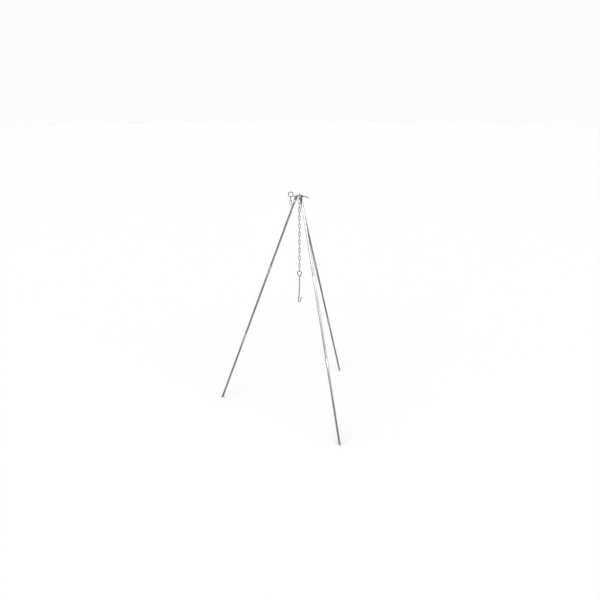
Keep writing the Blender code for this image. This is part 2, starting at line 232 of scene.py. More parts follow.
class TripodColors(bpy.types.PropertyGroup):
    """Colours of the metals."""

    bright: paint("Bright plate", "Freshly plated steel", (0.30, 0.31, 0.302))
    dull: paint("Dull plate", "Plated steel that has been handled", (0.13, 0.139, 0.134))
    polished: paint("Polished plate", "Plate rubbed bright", (0.40, 0.41, 0.40))
    zinc: paint("Zinc", "Galvanised chain", (0.20, 0.206, 0.203))
    weathered: paint("Weathered wire", "Dull wire of the ring, pin and hook", (0.085, 0.09, 0.087))
    stain: paint("Stain", "Smoke and damp stain", (0.12, 0.113, 0.10))
    # The foot caps' dark steel, also the colour of the painted shade at the collars' ends.
    cap: paint("Foot cap", "Dark steel of a foot cap", (0.20, 0.205, 0.20))
    floor: paint("Floor", "Pale studio floor", (0.655, 0.655, 0.655))


class TripodStudio(bpy.types.PropertyGroup):
    """The camera's place and the light."""

    camera_azimuth: degrees("Camera azimuth", "Turn of the camera round the head", 4.24)
    camera_elevation: degrees("Camera elevation", "Angle of the camera above the level", 21.61)
    camera_distance: metres("Camera distance", "From the camera to what it looks at", 2.666)
    camera_aim: metres("Camera aim", "Height that the camera looks at", 0.600)
    camera_lens: amount("Camera lens", "Focal length in millimetres on a 36 mm sensor", 31.33)
    camera_shift: bpy.props.FloatVectorProperty(
        name="Camera shift", description="Sideways and upward shift of the lens",
        default=(0.00085, -0.00077), size=2, precision=5,
    )
    floor_size: metres("Floor size", "Width of the floor", 60.0)
    overhead_light: amount("Overhead light", "Strength of the broad light from above", 0.60)
    overhead_spread: degrees("Overhead spread", "Angle that the broad light fills", 60.0)
    screen_light: amount("Screen light", "Brightness of the long soft screen in front", 5.8)
    screen_low: degrees("Screen low", "Angle of the screen's lower edge above the level", 8.0)
    screen_high: degrees("Screen high", "Angle of the screen's upper edge above the level", 42.0)
    screen_half: degrees("Screen half width", "Angle from straight ahead to the screen's side", 72.0)
    screen_fade: amount("Screen fade", "Softness of the screen's edges", 0.06)
    side_light: amount("Side light", "Light that comes from the level", 0.30)
    room_light: amount("Room light", "Light that comes from straight above", 0.45)
    sky_height: amount("Sky height", "Height of a direction where the room light is full", 0.9)
    backdrop: amount("Backdrop", "Brightness of the room where it is looked at", 0.98)


# Arrays and surfaces.


def unit(vector):
    """A vector, or rows of vectors, divided by their lengths."""
    vector = np.asarray(vector, float)
    return vector / np.linalg.norm(vector, axis=-1, keepdims=True)


def mesh_points(mesh):
    """The points of a mesh, as rows of an array."""
    points = np.empty(len(mesh.vertices) * 3, np.float32)
    mesh.vertices.foreach_get("co", points)
    return points.reshape(-1, 3).astype(float)


def node_points(node):
    """The points of one of the frame's nodes."""
    return mesh_points(frame["nodes"][node].data)


def near(distance, width):
    """1 at no distance, falling away as a bell curve of that width."""
    return np.exp(-((np.asarray(distance) / width) ** 2))


def line_lengths(line):
    """How far along a line each of its points is: the running sum of its steps."""
    return np.concatenate(([0.0], np.cumsum(np.linalg.norm(np.diff(line, axis=0), axis=1))))


def placed(name, data):
    """A new object in the scene."""
    thing = bpy.data.objects.new(name, data)
    bpy.context.scene.collection.objects.link(thing)
    return thing


def softened(corners, cut, closed):
    """Rounds an outline's corners: each becomes a quadratic curve that starts and ends a cut away from it.

    An open outline keeps its two ends as they are.
    """
    corners = np.asarray(corners, float)
    back = np.roll(corners, 1, axis=0) - corners
    ahead = np.roll(corners, -1, axis=0) - corners
    back_length = np.linalg.norm(back, axis=1, keepdims=True)
    ahead_length = np.linalg.norm(ahead, axis=1, keepdims=True)
    start = corners + back / back_length * np.minimum(cut, CORNER_SHARE * back_length)
    end = corners + ahead / ahead_length * np.minimum(cut, CORNER_SHARE * ahead_length)
    t = np.linspace(0.0, 1.0, CORNER_STEPS)[None, :, None]
    curves = (1 - t) ** 2 * start[:, None] + 2 * t * (1 - t) * corners[:, None] + t**2 * end[:, None]
    if closed:
        return curves.reshape(-1, corners.shape[1])
    middle = curves[1:-1].reshape(-1, corners.shape[1])
    return np.concatenate((corners[:1], middle, corners[-1:]))


def evenly(points, spacing, closed=False):
    """The same line with its points an even distance apart along it."""
    line = np.concatenate((points, points[:1])) if closed else np.asarray(points, float)
    along = line_lengths(line)
    count = max(8, int(round(along[-1] / spacing)))
    wanted = np.linspace(0.0, along[-1], count + 1)
    even = np.stack([np.interp(wanted, along, line[:, axis]) for axis in range(3)], axis=1)
    return even[:-1] if closed else even


def smoothed(points, rounds):
    """An open line with each inner point moved to the weighted middle of itself and its neighbours."""
    for _ in range(rounds):
        inner = 0.25 * points[:-2] + 0.5 * points[1:-1] + 0.25 * points[2:]
        points = np.concatenate((points[:1], inner, points[-1:]))
    return points


def grid_mesh(name, rows, closed=False, poles=(None, None)):
    """A surface through a grid of points: four neighbours in the grid are one face.

    Each row of the grid closes on itself. The rows close on each other when closed is set, and otherwise
    a fan to a pole point closes an end.
    """
    count, around = rows.shape[:2]
    index = np.arange(count * around).reshape(count, around)
    first = index if closed else index[:-1]
    second = np.roll(index, -1, axis=0) if closed else index[1:]
    corners = (first, np.roll(first, -1, axis=1), np.roll(second, -1, axis=1), second)
    quads = np.stack(corners, axis=-1).reshape(-1, 4)
    points = [rows.reshape(-1, 3)]
    fans = []
    first_pole, last_pole = poles
    extra = count * around
    if first_pole is not None:
        points.append(np.asarray(first_pole, float)[None])
        fans.append(np.stack((np.full(around, extra), np.roll(index[0], -1), index[0]), axis=1))
        extra += 1
    if last_pole is not None:
        points.append(np.asarray(last_pole, float)[None])
        fans.append(np.stack((np.full(around, extra), index[-1], np.roll(index[-1], -1)), axis=1))
    return array_mesh(name, np.concatenate(points), quads, fans)


def array_mesh(name, points, quads, fans):
    """A mesh from arrays of points, four-sided faces and fans of triangles."""
    triangles = np.concatenate(fans) if fans else np.zeros((0, 3), int)
    corners = np.concatenate((quads.ravel(), triangles.ravel())).astype(np.int32)
    sides = np.concatenate((np.full(len(quads), 4), np.full(len(triangles), 3)))
    starts = np.concatenate(([0], np.cumsum(sides)[:-1])).astype(np.int32)
    mesh = bpy.data.meshes.new(name)
    mesh.vertices.add(len(points))
    mesh.vertices.foreach_set("co", points.astype(np.float32).ravel())
    mesh.loops.add(len(corners))
    mesh.loops.foreach_set("vertex_index", corners)
    mesh.polygons.add(len(sides))
    mesh.polygons.foreach_set("loop_start", starts)
    mesh.update(calc_edges=True)
    mesh.validate()
    mesh.shade_smooth()
    return mesh


def turned_rows(profile, around, origin, side, axis):
    """A turned surface: the point at angle a is radius * (cos a * side + sin a * third) + height * axis."""
    profile = np.asarray(profile, float)
    angle = np.arange(around) * TURN / around
    third = np.cross(axis, side)
    spoke = np.cos(angle)[:, None] * side + np.sin(angle)[:, None] * third
    return origin + profile[:, 0, None, None] * spoke[None] + profile[:, 1, None, None] * axis


def wire_rows(line, normal, radii, around, closed):
    """A round wire along a flat line: circles across the line's direction, each with its own radius."""
    if closed:
        tangent = unit(np.roll(line, -1, axis=0) - np.roll(line, 1, axis=0))
    else:
        tangent = unit(np.gradient(line, axis=0))
    normal = np.broadcast_to(unit(normal), line.shape)
    third = np.cross(tangent, normal)
    angle = np.arange(around) * TURN / around
    spoke = np.cos(angle)[None, :, None] * normal[:, None] + np.sin(angle)[None, :, None] * third[:, None]
    return line[:, None] + radii[:, None, None] * spoke


def domed(line, radii, dome, steps=7):
    """Lengthens both ends of an open line by a dome, whose radius falls away as a quarter ellipse."""
    slope = np.linspace(0.0, QUARTER, steps, endpoint=False)[1:]
    start_way = unit(line[0] - line[1])
    end_way = unit(line[-1] - line[-2])
    start = line[0] + start_way * dome * np.sin(slope[::-1])[:, None]
    end = line[-1] + end_way * dome * np.sin(slope)[:, None]
    poles = (line[0] + start_way * dome, line[-1] + end_way * dome)
    new_line = np.concatenate((start, line, end))
    fall = np.cos(slope)
    new_radii = np.concatenate((radii[0] * fall[::-1], radii, radii[-1] * fall))
    return new_line, new_radii, poles


def store(mesh, name, kind, values):
    """Keeps a number or a vector for each point of a mesh."""
    attribute = mesh.attributes.new(name, kind, "POINT")
    field = "vector" if kind == "FLOAT_VECTOR" else "value"
    attribute.data.foreach_set(field, np.asarray(values, np.float32).ravel())


def finish_piece(name, mesh, material, node, body):
    """Puts a finished mesh in the scene, in the place of one plain node and on its body."""
    mesh.materials.append(material)
    mesh.set_sharp_from_angle(angle=SHARP_ANGLE)
    piece = placed(name, mesh)
    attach(piece, body)
    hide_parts(node)
    return piece


# Legs.


class LegFrame:
    """A leg's own axes, read from its joints: down along it, out from the head, and across."""

    def __init__(self, name):
        self.name = name
        self.top = np.array(JOINTS[f"{name}_leg_fold"]["pos_m"], float)
        self.down = unit(JOINTS[f"{name}_leg_middle_pull"]["axis"])
        self.side = unit(np.cross(JOINTS[f"{name}_leg_fold"]["axis"], self.down))
        self.across = np.cross(self.down, self.side)

    def local(self, points):
        """Points as side, across and distance down the leg."""
        return (points - self.top) @ np.stack((self.side, self.across, self.down), axis=1)

    def reach(self, node):
        """Least and greatest radius about the leg, and how far down it a node starts and ends."""
        local = self.local(node_points(node))
        radius = np.hypot(local[:, 0], local[:, 1])
        return radius.min(), radius.max(), local[:, 2].min(), local[:, 2].max()

    def widest(self, node, start, end):
        """Greatest radius of a node between two distances down the leg."""
        local = self.local(node_points(node))
        between = (local[:, 2] >= start) & (local[:, 2] < end)
        return np.hypot(local[between, 0], local[between, 1]).max()

    def turned(self, profile, around):
        """A profile of radius and distance down, turned about the leg."""
        return turned_rows(profile, around, self.top, self.side, self.down)

    def store_grain(self, mesh, wear):
        """Keeps each point's place in the leg's own axes, which the finish's pattern follows."""
        local = self.local(mesh_points(mesh))
        store(mesh, GRAIN, "FLOAT_VECTOR", local)
        store(mesh, WEAR_AND_SHADE, "FLOAT", np.clip(wear(local), 0.0, 1.0))


def collar_mouths(leg):
    """How far down the leg the two collars start and end."""
    return [leg.reach(f"{leg.name}_{place}_sleeve")[2:] for place in ("upper", "lower")]


def tube_wear(leg):
    """Rubbed bands on the tubes where they slide in the mouths of the collars."""
    mouths = collar_mouths(leg)

    def wear(local):
        return RUB_SHARE * sum(near(local[:, 2] - end - RUB_DROP, RUB_LENGTH) for _, end in mouths)

    return wear


def plain_tube(leg, part, sizes, material):
    """A tube with its bore: outer wall down, inner wall back up, and rounded rims between them."""
    node = f"{leg.name}_{part}_tube"
    _, radius, start, end = leg.reach(node)
    bore = radius - sizes.tube_wall
    corners = [(radius, start), (radius, end), (bore, end), (bore, start)]
    profile = softened(corners, sizes.edge_round, closed=True)
    rows = leg.turned(split_long(profile, LONGEST_FACE), TUBE_SIDES)
    mesh = grid_mesh(f"{node}_surface", rows, closed=True)
    leg.store_grain(mesh, tube_wear(leg))
    return finish_piece(f"{leg.name}_tube_{part}", mesh, material, node, f"{leg.name}_leg_{part}")


def split_long(profile, longest):
    """A closed profile with points added evenly on its long straight sides."""
    sides = np.roll(profile, -1, axis=0) - profile
    counts = np.maximum(1, np.ceil(np.linalg.norm(sides, axis=1) / longest).astype(int))
    owner = np.repeat(np.arange(len(profile)), counts)
    first = np.cumsum(counts) - counts
    share = (np.arange(counts.sum()) - first[owner]) / counts[owner]
    return profile[owner] + share[:, None] * sides[owner]


def tab_rows(leg, sizes, radius, start, end):
    """The outside of an upper tube, from its rounded flat tip to its round lower end.

    A section is a rounded oblong whose half width and half thickness ease from the tab's to the tube's
    as 3t squared less 2t cubed, and whose corners ease from nearly square to round with it.
    """
    tip = sizes.tab_half_width
    slope = np.linspace(TIP_START, QUARTER, TIP_ROWS)
    cap = -tip * np.cos(slope)
    flat = np.linspace(0.0, sizes.tab_flat, FLAT_ROWS)[1:]
    taper = sizes.tab_flat + np.linspace(0.0, sizes.tab_taper, TAPER_ROWS)[1:]
    tube = np.linspace(taper[-1], end, PLAIN_ROWS)[1:]
    down = np.concatenate((cap, flat, taper, tube))
    share = np.clip((down - sizes.tab_flat) / sizes.tab_taper, 0.0, 1.0)
    eased = share * share * (3 - 2 * share)
    half_width = tip + (radius - tip) * eased
    half_width = np.where(down < 0, np.sqrt(np.maximum(tip**2 - down**2, 0.0)), half_width)
    thickness = sizes.tab_half_thickness
    half_thickness = thickness + (radius - thickness) * eased
    half_thickness = half_thickness * np.where(down < -RIM_PLACE * tip, RIM_THICKNESS, 1.0)
    power = SQUARE_CORNER + (1 - SQUARE_CORNER) * eased
    angle = (np.arange(TAB_SIDES) + 0.5) * TURN / TAB_SIDES
    cos = np.cos(angle)[None]
    sin = np.sin(angle)[None]
    wide = half_width[:, None] * np.sign(cos) * np.abs(cos) ** power[:, None]
    thin = half_thickness[:, None] * np.sign(sin) * np.abs(sin) ** power[:, None]
    thin_way, wide_way = tab_ways(leg)
    flat_rows = wide[..., None] * wide_way + thin[..., None] * thin_way
    return leg.top + flat_rows + down[:, None, None] * leg.down


def tab_ways(leg):
    """The tab's thin direction, found as the least spread of the points round its hole, and its wide one."""
    local = leg.local(node_points(f"{leg.name}_upper_tube"))
    tip = local[local[:, 2] < 0.0, :2]
    spread, ways = np.linalg.eigh(np.cov((tip - tip.mean(axis=0)).T))
    thin = ways[0, 0] * leg.side + ways[1, 0] * leg.across
    wide = np.cross(thin, leg.down)
    return thin, wide


def hole_mesh(leg, sizes):
    """The drill: a turned waist whose radius grows towards both faces of the tab, so it breaks the edges."""
    thin, wide = tab_ways(leg)
    half = 3 * sizes.tab_half_thickness
    along = np.linspace(-half, half, DRILL_ROWS)
    over = np.abs(along) - sizes.tab_half_thickness + sizes.edge_round
    radius = sizes.tab_hole + np.clip(over, 0.0, 2 * sizes.edge_round)
    rows = turned_rows(np.stack((radius, along), axis=1), TURNED_SIDES, leg.top, wide, thin)
    poles = (leg.top - thin * half, leg.top + thin * half)
    return grid_mesh("drill", rows, poles=poles)


def bore_mesh(leg, sizes, radius, end):
    """The inside of the upper tube as a plug: a turned rod with a domed top that runs out past the tube."""
    bore = radius - sizes.tube_wall
    top = sizes.tab_flat + sizes.tab_taper
    slope = np.linspace(BORE_START, QUARTER, BORE_ROWS)
    dome = np.stack((bore * np.sin(slope), top + bore - bore * np.cos(slope)), axis=1)
    rod = np.array([(bore, end - sizes.edge_round), (bore + 2 * sizes.edge_round, end + sizes.edge_round)])
    rows = leg.turned(np.concatenate((dome, rod)), TUBE_SIDES)
    poles = (leg.top + leg.down * top, leg.top + leg.down * (end + sizes.edge_round))
    return grid_mesh("bore", rows, poles=poles)


def cut_mesh(mesh, cutters):
    """A mesh with other meshes taken out of it."""
    solid = placed(mesh.name, mesh)
    helpers = [solid]
    for cutter in cutters:
        helper = placed(cutter.name, cutter)
        helpers.append(helper)
        cut = solid.modifiers.new(cutter.name, "BOOLEAN")
        cut.operation = "DIFFERENCE"
        cut.object = helper
    bpy.context.view_layer.update()
    graph = bpy.context.evaluated_depsgraph_get()
    done = bpy.data.meshes.new_from_object(solid.evaluated_get(graph))
    for helper in helpers:
        bpy.data.objects.remove(helper, do_unlink=True)
    done.shade_smooth()
    return done


def upper_tube(leg, sizes, material):
    """A tube pressed flat and drilled at its top, with its bore open at the bottom."""
    node = f"{leg.name}_upper_tube"
    _, _, start, end = leg.reach(node)
    radius = leg.reach(f"{leg.name}_middle_tube")[1]
    rows = tab_rows(leg, sizes, radius, start, end)
    first = leg.top + leg.down * start
    last = leg.top + leg.down * end
    body = grid_mesh(f"{node}_surface", rows, poles=(first, last))
    mesh = cut_mesh(body, [hole_mesh(leg, sizes), bore_mesh(leg, sizes, radius, end)])
    leg.store_grain(mesh, tube_wear(leg))
    return finish_piece(f"{leg.name}_tube_upper", mesh, material, node, f"{leg.name}_leg_upper")


def collar(leg, place, body, sizes, material):
    """A turned collar: rounded shoulder, two crimped rings on the tube it grips, rolled bead at its mouth.

    The outer radius is the plain one, less two bell curves for the crimps, times a quarter ellipse over
    the shoulder, plus a half sine for the bead.
    """
    node = f"{leg.name}_{place}_sleeve"
    bore, bead, start, end = leg.reach(node)
    plain = leg.widest(node, start, (start + end) / 2)
    down = np.linspace(start, end, COLLAR_ROWS)
    crimps = sum(near(down - start - share * (end - start), CRIMP_WIDTH) for share in CRIMP_PLACES)
    outer = plain - sizes.crimp_depth * crimps
    shoulder = np.clip((down - start) / sizes.shoulder_length, 0.0, 1.0)
    lip = bore + sizes.edge_round
    outer = lip + (outer - lip) * np.sqrt(np.clip(1 - (1 - shoulder) ** 2, 0.0, 1.0))
    rolled = np.clip((down - end + sizes.bead_length) / sizes.bead_length, 0.0, 1.0)
    outer = outer + (bead - plain) * np.sin(np.pi * np.clip(rolled, 0.0, BEAD_TURN))
    wall = np.stack((outer, down), axis=1)
    corners = [(bore + MOUTH_FLARE, end), (bore, end - MOUTH_DEPTH), (bore, start)]
    profile = np.concatenate((wall, softened(corners, sizes.edge_round, closed=False)))
    rows = leg.turned(profile, TURNED_SIDES)
    mesh = grid_mesh(f"{node}_surface", rows, closed=True)

    # Painted shade: darker at the collar's mouth and, half as much, at its top, where the tubes go in.
    def grime_and_shade(local):
        return near(local[:, 2] - end, MOUTH_PAINTED_SHADE) + 0.5 * near(local[:, 2] - start, TOP_PAINTED_SHADE)

    leg.store_grain(mesh, grime_and_shade)
    return finish_piece(f"{leg.name}_collar_{place}", mesh, material, node, body)


def foot_cap(leg, sizes, material):
    """A turned plug: stem, lip and groove under the tube's rim, and a dome worn flat by the ground.

    The dome's profile is a quarter circle, and every point below the ground is raised to it.
    """
    node = f"{leg.name}_foot_tip"
    start = leg.reach(node)[2]
    _, radius, _, tube_end = leg.reach(f"{leg.name}_lower_tube")
    stem = leg.widest(node, start, (start + tube_end) / 2)
    upright_share = -leg.down[2]
    lean = math.sqrt(1 - upright_share**2)
    nose_centre = (leg.top[2] - NOSE_HEIGHT) / upright_share
    shoulder = tube_end + CAP_GAP
    groove = shoulder + CAP_LIP + GROOVE_BEVEL
    corners = [
        (0.0, start), (stem, start), (stem, shoulder), (radius, shoulder), (radius, shoulder + CAP_LIP),
        (radius - GROOVE_DEPTH, groove), (radius - GROOVE_DEPTH, groove + GROOVE_FLOOR),
        (radius, groove + GROOVE_FLOOR + GROOVE_BEVEL), (radius, nose_centre),
    ]
    slope = np.linspace(0.0, QUARTER, DOME_ROWS)[:-1]
    dome = np.stack((radius * np.cos(slope), nose_centre + radius * np.sin(slope)), axis=1)
    profile = np.concatenate((softened(corners, CAP_CORNER, closed=False)[1:-1], dome))
    rows = leg.turned(profile, TURNED_SIDES)
    tip = leg.top + leg.down * (nose_centre + radius)
    rows[..., 2] = np.maximum(rows[..., 2], 0.0)
    tip[2] = max(tip[2], 0.0)
    mesh = grid_mesh(f"{node}_surface", rows, poles=(leg.top + leg.down * start, tip))
    leg.store_grain(mesh, lambda local: near(mesh_points(mesh)[:, 2], GROUND_WEAR + LEAN_WEAR * lean))
    return finish_piece(f"{leg.name}_foot_cap", mesh, material, node, f"{leg.name}_leg_lower")


# Wires.


def store_wire_grain(mesh, lengths, radii, around, wear, capped):
    """Keeps each point's place round and along the wire, as if the wire were straight."""
    angle = np.arange(around) * TURN / around
    shape = (len(radii), around)
    radius = np.broadcast_to(radii[:, None], shape)
    along = np.broadcast_to(lengths[:, None], shape)
    grain = np.stack((radius * np.cos(angle), radius * np.sin(angle), along), axis=-1).reshape(-1, 3)
    values = np.repeat(wear, around)
    if capped:
        grain = np.concatenate((grain, np.outer(lengths[[0, -1]], Z_WAY)))
        values = np.concatenate((values, wear[[0, -1]]))
    store(mesh, GRAIN, "FLOAT_VECTOR", grain)
    store(mesh, WEAR_AND_SHADE, "FLOAT", np.clip(values, 0.0, 1.0))


def wire_mesh(name, line, normal, diameter, around, closed, swell=None, wear=None):
    """A round wire along a line, closed on itself or with domed ends, which may swell along the way."""
    radii = np.full(len(line), diameter / 2)
    if swell is not None:
        radii = radii * (1 + swell(line))
    poles = (None, None)
    if not closed:
        dome = diameter * WIRE_END_DOME
        lengths = line_lengths(line)[1:]
        inside = (lengths[:-1] > dome) & (lengths[:-1] < lengths[-1] - dome)
        first = line[:1] + unit(line[1] - line[0]) * dome
        last = line[-1:] + unit(line[-2] - line[-1]) * dome
        line = np.concatenate((first, line[1:-1][inside], last))
        radii = np.concatenate((radii[:1], radii[1:-1][inside], radii[-1:]))
        line, radii, poles = domed(line, radii, dome)
    mesh = grid_mesh(name, wire_rows(line, normal, radii, around, closed), closed=closed, poles=poles)
    values = np.zeros(len(line)) if wear is None else wear(line)
    store_wire_grain(mesh, line_lengths(line), radii, around, values, capped=not closed)
    return mesh


def head_ring(sizes, wires, material):
    """A closed ring of wire with one butt weld, on the plane that best fits the frame's own ring.

    Its line is centre + radius * (cos a * first + sin a * second).
    """
    points = node_points("head_ring")
    centre = (points.max(axis=0) + points.min(axis=0)) / 2
    _, _, ways = np.linalg.svd(points - points.mean(axis=0), full_matrices=False)
    normal = ways[2] * np.sign(ways[2][2])
    first = unit(np.cross(Y_WAY, normal))
    second = np.cross(normal, first)
    flat = (points - centre) @ np.stack((first, second), axis=1)
    reach = np.linalg.norm(flat, axis=1)
    radius = (reach.max() + reach.min()) / 2
    angle = np.arange(RING_ROWS) * TURN / RING_ROWS
    line = centre + radius * (np.cos(angle)[:, None] * first + np.sin(angle)[:, None] * second)
    weld = centre + radius * (math.cos(RING_WELD) * first + math.sin(RING_WELD) * second)
    mesh = wire_mesh(
        "head_ring_surface", line, normal, wires.ring_wire, WIRE_SIDES, True,
        swell=lambda line: sizes.weld_swell * near(np.linalg.norm(line - weld, axis=1), sizes.weld_length),
        wear=lambda line: 0.5 * near(line[:, 2] - line[:, 2].min(), RING_WEAR),
    )
    return finish_piece("gathering_ring", mesh, material, "head_ring", "head")


def arc(centre_x, centre_z, radius, start, end, step=0.05):
    """An arc in the upright plane, its angle counted from +X towards +Z."""
    angle = np.linspace(start, end, max(3, int(abs(end - start) / step)))
    return np.stack((centre_x + radius * np.cos(angle), centre_z + radius * np.sin(angle)), axis=1)


def upright(flat, origin):
    """A line of the upright plane through an origin, from its distances along X and Z."""
    return np.stack((origin[0] + flat[:, 0], np.full(len(flat), origin[1]), origin[2] + flat[:, 1]), axis=1)


def height_pin(wires, material):
    """Tail, arch, straight neck and finger loop, on the pin's own drawing circle.

    The neck is the inner tangent of the arch's circle and the loop's circle.
    """
    centre = np.array(JOINTS["height_pin_draw"]["pos_m"], float)
    loop_z = wires.pin_arch + wires.loop_rise
    towards = math.atan2(loop_z, wires.loop_x)
    spread = math.acos((wires.pin_arch + wires.loop_radius) / math.hypot(wires.loop_x, loop_z))
    leave = towards - spread
    arch = arc(0.0, 0.0, wires.pin_arch, QUARTER - wires.pin_tail, leave, step=0.02)
    turn = leave - math.pi
    loop = arc(wires.loop_x, loop_z, wires.loop_radius, turn, turn - wires.loop_sweep)
    line = evenly(upright(np.concatenate((arch, loop)), centre), spacing=0.0007)
    line = smoothed(line, rounds=6)
    crest = centre + wires.pin_arch * Z_WAY
    mesh = wire_mesh(
        "height_pin_surface", line, Y_WAY, wires.pin_wire, WIRE_SIDES, False,
        wear=lambda line: 0.6 * near(np.linalg.norm(line - crest, axis=1), CREST_WEAR),
    )
    return finish_piece("drawing_pin", mesh, material, "height_pin", "height_pin")


def link_piece(name, node, body, sizes, wires, material, weld_side):
    """One link: two half circles and two straight sides, with a weld half way down one side."""
    low, high = (np.array(corner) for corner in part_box(node))
    middle = (low + high) / 2
    edge_on = high[1] - low[1] > high[0] - low[0]
    wide, normal = (Y_WAY, X_WAY) if edge_on else (X_WAY, Y_WAY)
    top = middle[2] + wires.link_reach / 2
    bow = (wires.link_width - wires.link_wire) / 2
    straight = wires.link_reach - 2 * bow
    upper = arc(0.0, -bow, bow, 0.0, math.pi, step=0.12)
    lower = arc(0.0, -bow - straight, bow, math.pi, TURN, step=0.12)
    flat = np.concatenate((upper, lower))
    line = middle * (X_WAY + Y_WAY) + flat[:, :1] * wide + (top + flat[:, 1:]) * Z_WAY
    line = evenly(line, spacing=0.0008, closed=True)
    weld = middle + weld_side * bow * wide
    bows = (line[:, 2].max(), line[:, 2].min())
    mesh = wire_mesh(
        f"{node}_surface", line, normal, wires.link_wire, LINK_SIDES, True,
        swell=lambda line: sizes.weld_swell * near(np.linalg.norm(line - weld, axis=1), sizes.weld_length),
        wear=lambda line: near(line[:, 2] - bows[0], LINK_WEAR) + near(line[:, 2] - bows[1], LINK_WEAR),
    )
    return finish_piece(name, mesh, material, node, body)


def hook_line(wires, top, foot):
    """Eye, neck, shank, J bend and tip, from the middle of the eye's top wire to the bend's lowest wire.

    The tip's straight end is a tangent of the bend's circle.
    """
    start = wires.eye_opening - QUARTER
    eye = arc(0.0, top - wires.eye_radius, wires.eye_radius, start, math.pi - start, step=0.08)
    neck = np.array((wires.neck_x, top - wires.neck_drop))
    shank_end = np.array(wires.shank_end) + (0.0, foot)
    centre = np.array((wires.bend_x, foot + wires.bend_radius))
    tip = np.array(wires.hook_tip) + (0.0, foot)
    reach_x, reach_z = tip - centre
    leave = TURN + math.atan2(reach_z, reach_x) - math.acos(wires.bend_radius / math.hypot(reach_x, reach_z))
    bend = arc(*centre, wires.bend_radius, math.pi, leave, step=0.08)
    return np.array([neck + wires.eye_end, *eye, neck, shank_end, *bend, tip])


def pot_hook(wires, material):
    """The hook's wire, bent in one plane through the last link."""
    pivot = np.array(JOINTS["hook_swing"]["pos_m"], float)
    low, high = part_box("pot_hook")
    top = high[2] - wires.hook_wire / 2 - pivot[2]
    foot = low[2] + wires.hook_wire / 2 - pivot[2]
    line = evenly(upright(hook_line(wires, top, foot), pivot), spacing=0.0006)
    line = smoothed(line, rounds=10)

    def rubbed(line):
        height = line[:, 2] - pivot[2]
        return near(height - top, CREST_WEAR) + near(height - foot, FOOT_WEAR)

    mesh = wire_mesh("pot_hook_surface", line, Y_WAY, wires.hook_wire, WIRE_SIDES, False, wear=rubbed)
    return finish_piece("kettle_hook", mesh, material, "pot_hook", "hook")


# Finishes.


def rgba(color):
    """A colour with its alpha, as sockets hold it."""
    return (*color, 1.0)


class Value:
    """A number that changes over a surface: arithmetic on it adds Math nodes."""

    def __init__(self, tree, socket):
        self.tree = tree
        self.socket = socket

    def math(self, operation, first, second):
        """A Math node on two numbers, of which one or both change over the surface."""
        node = self.tree.nodes.new("ShaderNodeMath")
        node.operation = operation
        for socket, value in zip(node.inputs, (first, second)):
            if isinstance(value, Value):
                self.tree.links.new(value.socket, socket)
            else:
                socket.default_value = value
        return Value(self.tree, node.outputs[0])

    def __add__(self, other):
        return self.math("ADD", self, other)

    def __radd__(self, other):
        return self.math("ADD", other, self)

    def __sub__(self, other):
        return self.math("SUBTRACT", self, other)

    def __rsub__(self, other):
        return self.math("SUBTRACT", other, self)

    def __mul__(self, other):
        return self.math("MULTIPLY", self, other)

    def __rmul__(self, other):
        return self.math("MULTIPLY", other, self)


class Nodes:
    """Short ways to add to a node tree."""

    def __init__(self, tree):
        self.tree = tree

    def add(self, kind, settings=None, inputs=None):
        """Adds a node, gives it its settings, then fills its sockets with numbers, colours or links."""
        node = self.tree.nodes.new(kind)
        for name, setting in (settings or {}).items():
            setattr(node, name, setting)
        for name, value in (inputs or {}).items():
            self.feed(node.inputs[name], value)
        return node

    def feed(self, socket, value):
        """Links a value or another socket to a socket, or sets a number or colour on it."""
        if isinstance(value, Value):
            self.tree.links.new(value.socket, socket)
        elif isinstance(value, bpy.types.NodeSocket):
            self.tree.links.new(value, socket)
        else:
            socket.default_value = value

    def value(self, kind, settings=None, inputs=None, output=0):
        """One output of a new node, as a number to work with."""
        return Value(self.tree, self.add(kind, settings, inputs).outputs[output])

    def ramp(self, value, low, high):
        """0 below low, 1 above high, and eased between them."""
        return self.value(
            "ShaderNodeMapRange", {"interpolation_type": "SMOOTHSTEP", "clamp": True},
            {"Value": value, "From Min": low, "From Max": high},
        )


